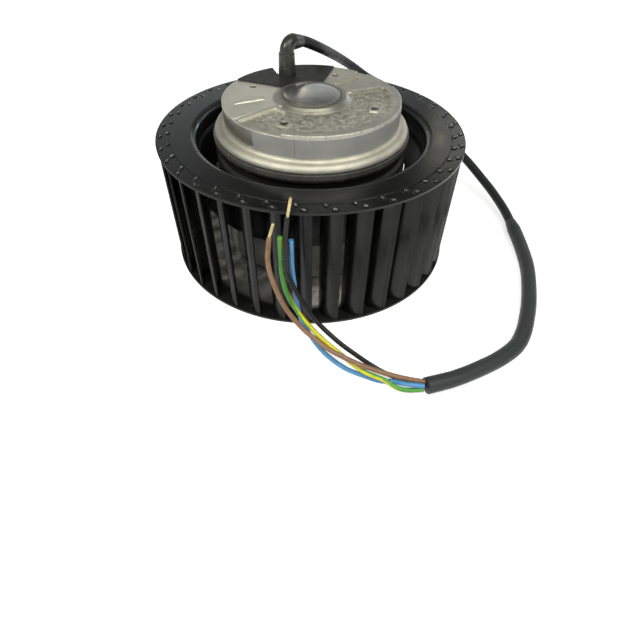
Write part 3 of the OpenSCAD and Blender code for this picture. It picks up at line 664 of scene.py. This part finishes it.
def add_lead():
    """The thin lead from the boot round the back of the drum to the sleeve."""
    route = lead_route[:sleeve_from + 1]
    skin = jacket("lead_jacket", (0.009, 0.0095, 0.0095), 0.45, 0.25, (0.024, 0.0265, 0.026))
    cable = tube("lead", smooth_route(route, 6), lambda i, turn: lead_radius, 20, [skin])
    lay_cord(cable, "power_cable")


def add_sleeve():
    """Shrunk sleeve: tight round the lead at its start and slightly uneven along its length."""
    route = lead_route[sleeve_from:]
    taper_rings, tight, uneven, shrink = 6, 0.82, 0.035, 0.02

    def outline(i, turn):
        swell = tight + (1 - tight) * ease(i / taper_rings)
        ripple = uneven * noise.noise(Vector((i * 0.12, 1.6 * math.cos(turn), 1.6 * math.sin(turn))))
        return sleeve_radius * (swell + ripple - shrink)

    skin = jacket("sleeve_rubber", (0.032, 0.0365, 0.037), 0.46, 0.35, (0.031, 0.0345, 0.035))
    sleeve = tube("sleeve", smooth_route(route, 12), outline, 28, [skin])
    lay_cord(sleeve, "cable_sleeve")


def add_strands(name, start, tip, material):
    """Seven fine twisted strands of a stripped end, six of them laid round the seventh."""
    start, tip = Vector(start) * MM, Vector(tip) * MM
    reach = (tip - start).length
    along = (tip - start).normalized()
    u = along.cross(Vector((0, 1, 0))).normalized()
    v = along.cross(u)
    points, faces = [], []
    rings, sides = 26, 8
    strand_radius, lay_radius, twist, sunk = 0.205 * MM, 0.39 * MM, 5.2, 0.4 * MM
    for strand in range(7):
        swing = 0.0 if strand == 6 else lay_radius
        shorter = 0.03 * ((strand * 5) % 7) / 7
        base = len(points)
        for i in range(rings):
            t = i / (rings - 1)
            turn = strand * math.pi / 3 + twist * t
            stretch = reach * t * (1 - shorter) - sunk
            middle = start + along * stretch + swing * (math.cos(turn) * u + math.sin(turn) * v)
            for k in range(sides):
                a = 2 * math.pi * k / sides
                points.append(middle + strand_radius * (math.cos(a) * u + math.sin(a) * v))
        faces += band_faces(base, rings, sides)
        faces.append(tuple(base + k for k in range(sides))[::-1])
        faces.append(tuple(base + (rings - 1) * sides + k for k in range(sides)))
    piece = add_mesh(name, points, faces, [material])
    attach(piece, "stator")
    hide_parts("bare_conductors")
    return piece


def add_wires():
    """The four free wires, two of them stripped at the end."""
    bare = metal("bare_strands", (0.84, 0.71, 0.41), (0.66, 0.51, 0.24), 0.3, 900)
    brown_end = add_strands("brown_strands", brown_route[-1], brown_tip, bare)
    black_end = add_strands("black_strands", black_route[-1], black_tip, bare)
    brown = [insulation("brown_pvc", (0.27, 0.15, 0.078), (0.19, 0.1, 0.05))]
    black = [insulation("black_pvc", (0.006, 0.006, 0.0058), (0.011, 0.0105, 0.01), 0.35, 0.24)]
    blue = [insulation("blue_pvc", (0.09, 0.31, 0.6), (0.06, 0.25, 0.52), 0.7, 0.2)]
    earth = [insulation("green_pvc", (0.1, 0.38, 0.05), (0.07, 0.3, 0.045)),
             insulation("yellow_pvc", (0.72, 0.68, 0.012), (0.62, 0.57, 0.012))]

    def stripe(i, turn):
        pairs = zip(stripe_turns, stripe_turns[1:])
        (first, low), (second, high) = next(pair for pair in pairs if i <= pair[1][0])
        middle = math.radians(low + (high - low) * (i - first) / (second - first))
        off = (turn - middle + math.pi) % (2 * math.pi) - math.pi
        return 1 if abs(off) < stripe_half else 0

    wires = (
        ("brown_lead", brown_route, "brown_wire", "brown_insulation", brown, None, [brown_end]),
        ("black_lead", black_route, "black_wire", "black_insulation", black, None, [black_end]),
        ("blue_lead", blue_route, "blue_wire", "blue_insulation", blue, None, []),
        ("earth_lead", green_yellow_route, "green_yellow_wire", "green_yellow_insulation", earth, stripe,
         []))
    for name, route, node, slot, materials, shade, ends in wires:
        piece = tube(name, smooth_route(route, 16), lambda i, turn: wire_radius, 24, materials, shade)
        lay_cord(piece, node)


# Staked tabs on the inlet ring

blade_count = 37
blade_phase = -6.8
blade_bend = 7.714 * MM
blade_inner_r = 61.0 * MM
ring_top = 58.0 * MM
tab_radii = (68.1 * MM, 65.1 * MM)
head_sunk = 0.04 * MM
# Ranges in millimetres of a head's half length, half width and height, and how far its top may lean
head_half_length = (0.98, 1.12)
head_half_width = (0.62, 0.74)
head_height = (0.5, 0.62)
head_lean = 0.12
# Exponents that fill out a head's profile and its outline
head_profile = 0.62
head_outline = 0.75
bend_middle = Vector((blade_inner_r, blade_bend, 0))


def tab_places():
    """Middle and direction of each tab, where its blade's arc crosses the tab's radius."""
    reach = bend_middle.length
    azimuth = math.atan2(bend_middle.y, bend_middle.x)
    for blade in range(blade_count):
        spin = Matrix.Rotation(math.radians(blade_phase + 360 * blade / blade_count), 3, "Z")
        for r in tab_radii:
            share = (r * r - reach * reach - blade_bend ** 2) / (2 * reach * blade_bend)
            turn = azimuth - math.acos(share)
            middle = bend_middle + blade_bend * Vector((math.cos(turn), math.sin(turn), 0))
            yield spin @ middle, spin @ Vector((-math.sin(turn), math.cos(turn), 0))


def add_tab_heads():
    """Peened heads over the tabs: low rounded lumps, each struck a little differently."""
    chance = random.Random(11)
    points, faces = [], []
    sides, rows = 16, 6
    for middle, along in tab_places():
        across = Vector((0, 0, 1)).cross(along)
        half_l = chance.uniform(*head_half_length) * MM
        half_w = chance.uniform(*head_half_width) * MM
        height = chance.uniform(*head_height) * MM
        lean_x = chance.uniform(-head_lean, head_lean)
        lean_y = chance.uniform(-head_lean, head_lean)
        lean = Vector((lean_x, lean_y, 0)) * MM
        base = len(points)
        for row in range(rows):
            climb = row / rows * math.pi / 2
            out, up = math.cos(climb) ** head_profile, math.sin(climb) ** head_profile
            for k in range(sides):
                turn = 2 * math.pi * k / sides
                x = math.copysign(abs(math.cos(turn)) ** head_outline, math.cos(turn)) * out * half_l
                y = math.copysign(abs(math.sin(turn)) ** head_outline, math.sin(turn)) * out * half_w
                points.append(middle + lean * up + along * x + across * y
                              + Vector((0, 0, ring_top - head_sunk + up * height)))
        points.append(middle + lean + Vector((0, 0, ring_top - head_sunk + height)))
        faces += band_faces(base, rows, sides)
        top = base + rows * sides
        for k in range(sides):
            faces.append((top - sides + k, top - sides + (k + 1) % sides, top))
        faces.append(tuple(base + k for k in range(sides))[::-1])
    heads = add_mesh("tab_heads", points, faces, [tab_paint()])
    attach(heads, "impeller")


# Drawn collar that carries the inlet's lip further down

# Radius and height in millimetres along the closed section
collar_section = (
    (52.25, 51.6), (52.2, 46), (52.3, 33), (52.6, 30.7), (53.1, 30.4), (53.3, 30.8), (53.0, 34),
    (52.95, 51.6))
collar_sides = 144


def add_collar():
    """Ring swept from the collar's section, in the inlet ring's paint."""
    rows, sides = len(collar_section), collar_sides
    points, faces = [], []
    for r, z in collar_section:
        for k in range(sides):
            turn = 2 * math.pi * k / sides
            points.append(Vector((r * math.cos(turn), r * math.sin(turn), z)) * MM)
    for row in range(rows):
        for k in range(sides):
            a, b = row * sides, (row + 1) % rows * sides
            faces.append((a + k, b + k, b + (k + 1) % sides, a + (k + 1) % sides))
    collar = add_mesh("inlet_collar", points, faces, [nodes["inlet_ring"].data.materials[0]])
    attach(collar, "impeller")


# Raised plain bar on the casting's smooth sector, with its ends as radius in millimetres and direction

flange_face = 71.5 * MM
bar_ends = ((20.6, -173.7), (34.6, -165.5))
bar_half = 1.9 * MM
bar_rise = 0.6 * MM
bar_corner = 0.9 * MM
bar_sunk = 0.03 * MM
bar_foot = 0.1 * MM
# Share by which the top is uneven, and how often along a metre
bar_uneven = 0.16
bar_waves = 900


def add_face_bar():
    """Low bar with rounded shoulders and a slightly uneven top, closed by a flat foot in the casting."""
    near, far = (flat_point(*end) for end in bar_ends)
    out = (far - near).normalized()
    side = Vector((-out.y, out.x, 0))
    middle = (near + far) / 2
    half_l = (far - near).length / 2
    steps_l, steps_w = 28, 10
    row = steps_w + 1
    points, faces = [], []
    for i in range(steps_l + 1):
        for k in range(row):
            x = (2 * i / steps_l - 1) * half_l
            y = (2 * k / steps_w - 1) * bar_half
            climb = ease(min(half_l - abs(x), bar_half - abs(y)) / bar_corner)
            uneven = bar_uneven * noise.noise(Vector((x * bar_waves, y * bar_waves, 3.7)))
            z = flange_face - bar_sunk + bar_rise * climb * (1 + uneven)
            points.append(middle + out * x + side * y + Vector((0, 0, z)))
    for i in range(steps_l):
        for k in range(steps_w):
            a = i * row + k
            faces.append((a, a + row, a + row + 1, a + 1))
    border = [i * row for i in range(steps_l)] + [steps_l * row + k for k in range(steps_w)]
    border += [i * row + steps_w for i in range(steps_l, 0, -1)] + list(range(steps_w, 0, -1))
    foot, count = len(points), len(border)
    points += [points[corner] - Vector((0, 0, bar_foot)) for corner in border]
    points.append(middle + Vector((0, 0, flange_face - bar_sunk - bar_foot)))
    for k in range(count):
        after = (k + 1) % count
        faces.append((border[k], foot + k, foot + after, border[after]))
        faces.append((foot + after, foot + k, foot + count))
    skin = metal("bar_skin", (0.82, 0.8, 0.7), (0.66, 0.64, 0.55), 0.5, 700)
    bar = add_mesh("face_bar", points, faces, [skin])
    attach(bar, "stator")


# Floor, light and background

floor_half = 4.0
floor_drop = 0.0001
floor_albedo = 0.55
# Distances between which the floor's glow, where it is seen or reflected, goes from low to high
floor_glow = {"From Min": 0.6, "From Max": 1.4, "To Min": 0.7, "To Max": 0.98}
# Brightness of the room by height, leaning to one side
room_lean = 0.25
room_low = ((0.3, (0.44, 0.48, 0.5, 1)), (0.36, (0.4, 0.41, 0.4, 1)))
room_levels = ((0.4, 0.27), (0.45, 0.1), (0.5, 0.04), (0.56, 0.05), (0.64, 0.24), (0.95, 0.22))
# Name, place, aim, size, power and colour of each lamp
lamps = (
    ("key", (-0.517, -0.389, 0.675), (0, 0, 0.05), (0.14, 0.14), 3.3, (1.0, 0.97, 0.91)),
    ("front", (0.16, -0.38, 0.87), (0, 0, 0.05), (0.9, 0.4), 5.2, (1.0, 0.98, 0.93)),
    ("fill", (0.55, -0.55, 0.5), (0, 0, 0.04), (0.6, 0.6), 1.5, (1.0, 0.98, 0.95)),
    ("sheen", (0.31, 0.86, 0.478), (0.06, 0, 0.058), (0.12, 0.12), 0.05, (1.0, 0.97, 0.84)),
    ("back", (0.02, 0.78, 0.62), (0, -0.06, 0.058), (0.16, 0.1), 0.025, (1.0, 0.99, 0.97)),
    ("glint", (-0.19, 0.9, 0.23), (0, 0, 0.07), (0.42, 0.14), 0.13, (1.0, 0.95, 0.83)),
    ("spot", (-0.1, 0.887, 0.412), (0, 0, 0.073), (0.1, 0.055), 0.036, (1.0, 0.95, 0.82)),
    ("window", (0.37, 0.86, 0.2), (0, 0, 0.058), (0.1, 0.16), 0.26, (0.66, 0.85, 1.0)),
    ("right", (0.7, 0.64, 0.4), (0, 0, 0.06), (0.5, 0.3), 0.55, (1.0, 0.98, 0.93)))


def add_floor():
    """Pale floor that keeps the shadow, and is white to the eye and in reflections."""
    corners = ((-1, -1), (1, -1), (1, 1), (-1, 1))
    points = [(x * floor_half, y * floor_half, -floor_drop) for x, y in corners]
    floor = add_mesh("floor", points, [(0, 1, 2, 3)], [])
    material = bpy.data.materials.new("floor_white")
    material.use_nodes = True
    tree = material.node_tree
    shader = tree.nodes["Principled BSDF"]
    shader.inputs["Base Color"].default_value = (floor_albedo, floor_albedo, floor_albedo, 1)
    shader.inputs["Roughness"].default_value = 0.9
    shader.inputs["Specular IOR Level"].default_value = 0.0
    rays = tree.nodes.new("ShaderNodeLightPath")
    seen = rays.outputs["Is Camera Ray"]
    for name in ("Is Glossy Ray", "Is Transmission Ray"):
        join = tree.nodes.new("ShaderNodeMath")
        join.operation = "MAXIMUM"
        tree.links.new(seen, join.inputs[0])
        tree.links.new(rays.outputs[name], join.inputs[1])
        seen = join.outputs[0]
    reach = tree.nodes.new("ShaderNodeVectorMath")
    reach.operation = "LENGTH"
    tree.links.new(tree.nodes.new("ShaderNodeNewGeometry").outputs["Position"], reach.inputs[0])
    fade = tree.nodes.new("ShaderNodeMapRange")
    tree.links.new(reach.outputs["Value"], fade.inputs["Value"])
    for socket, number in floor_glow.items():
        fade.inputs[socket].default_value = number
    glow = tree.nodes.new("ShaderNodeMath")
    glow.operation = "MULTIPLY"
    tree.links.new(seen, glow.inputs[0])
    tree.links.new(fade.outputs["Result"], glow.inputs[1])
    shader.inputs["Emission Color"].default_value = (1, 1, 1, 1)
    tree.links.new(glow.outputs[0], shader.inputs["Emission Strength"])
    floor.data.materials.append(material)


def add_light(name, place, aim, size, power, color):
    """Rectangular lamp aimed at a point."""
    data = bpy.data.lights.new(name, "AREA")
    data.shape = "RECTANGLE"
    data.size, data.size_y = size
    data.energy = power
    data.color = color
    lamp = bpy.data.objects.new(name, data)
    bpy.context.scene.collection.objects.link(lamp)
    lamp.location = place
    lamp.rotation_euler = (Vector(aim) - Vector(place)).to_track_quat("-Z", "Y").to_euler()


def add_world():
    """Room that lights the part by height and is white behind it."""
    world = bpy.data.worlds.new("studio")
    bpy.context.scene.world = world
    world.use_nodes = True
    tree = world.node_tree
    split = tree.nodes.new("ShaderNodeSeparateXYZ")
    tree.links.new(tree.nodes.new("ShaderNodeTexCoord").outputs["Generated"], split.inputs[0])
    lean = tree.nodes.new("ShaderNodeMath")
    lean.operation = "MULTIPLY_ADD"
    tree.links.new(split.outputs["X"], lean.inputs[0])
    lean.inputs[1].default_value = room_lean
    tree.links.new(split.outputs["Z"], lean.inputs[2])
    ramp = tree.nodes.new("ShaderNodeValToRGB")
    tree.links.new(lean.outputs[0], ramp.inputs["Fac"])
    stops = ramp.color_ramp.elements
    for stop, (position, color) in zip(list(stops), room_low):
        stop.position = position
        stop.color = color
    for position, level in room_levels:
        stops.new(position).color = (level, level, level, 1)
    white = tree.nodes.new("ShaderNodeMix")
    white.data_type = "RGBA"
    tree.links.new(tree.nodes.new("ShaderNodeLightPath").outputs["Is Camera Ray"], white.inputs[0])
    tree.links.new(ramp.outputs["Color"], white.inputs[6])
    white.inputs[7].default_value = (1, 1, 1, 1)
    background = tree.nodes["Background"]
    tree.links.new(white.outputs[2], background.inputs["Color"])
    background.inputs["Strength"].default_value = 1.0


add_camera()
add_lead()
add_sleeve()
add_wires()
dress()
add_tab_heads()
add_collar()
add_face_bar()
add_floor()
for lamp in lamps:
    add_light(*lamp)
add_world()
bpy.context.scene.view_settings.view_transform = "Standard"
